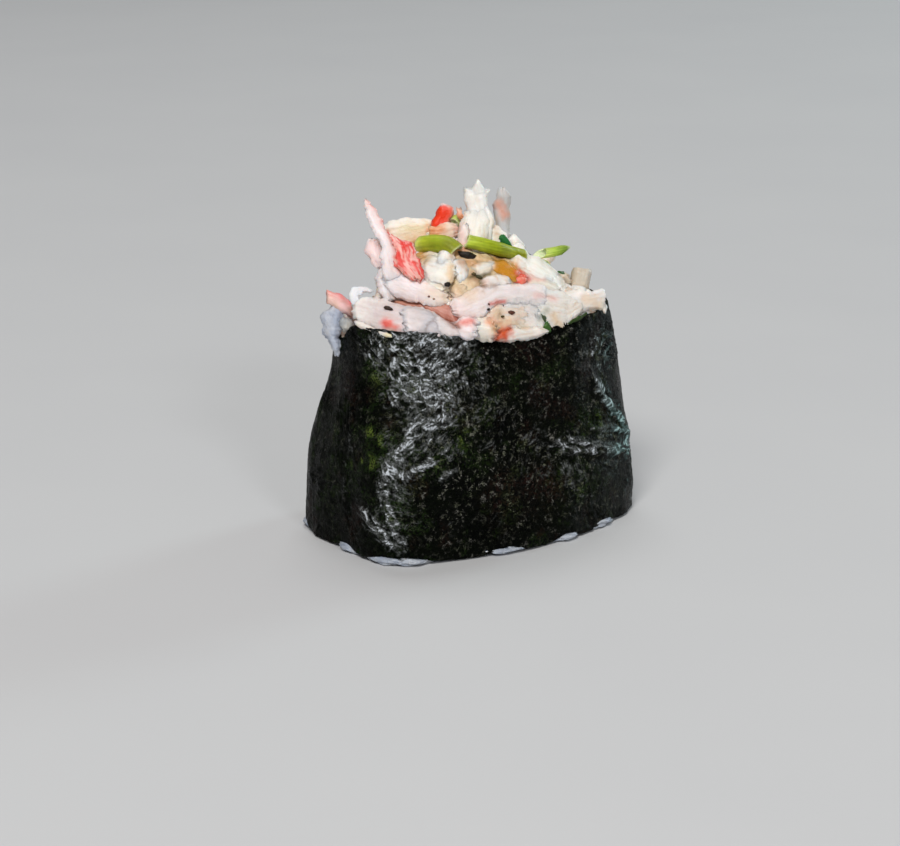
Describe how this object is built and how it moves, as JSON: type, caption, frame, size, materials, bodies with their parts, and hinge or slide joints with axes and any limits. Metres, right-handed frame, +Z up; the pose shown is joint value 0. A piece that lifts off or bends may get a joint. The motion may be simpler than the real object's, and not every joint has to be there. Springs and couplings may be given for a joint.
{
  "type": "crab salad gunkan sushi",
  "caption": "Oval sushi: a damp nori band wound round pressed rice and heaped with shredded crab salad, resting on its flat underside.",
  "frame": {"origin": "on the floor, at the middle of the rice's flat underside", "axes": "+Z up; +X along the long side, towards the end where the heap slopes away; -Y is the long side shown in the picture"},
  "size_m": [0.0517, 0.0365, 0.0528],
  "materials": {
    "nori": "near-black green damp seaweed sheet, semi-gloss, with fine fibres and wrinkles",
    "rice": "moist bluish-white cooked rice, translucent at its edges",
    "crab_salad": "moist creamy-white shredded crab stick with salmon-red skins, chives and amber sauce"
  },
  "bodies": {
    "root": {"nori_band": "nori", "rice_bed": "rice", "crab_salad": "crab_salad"}
  },
  "joints": []
}
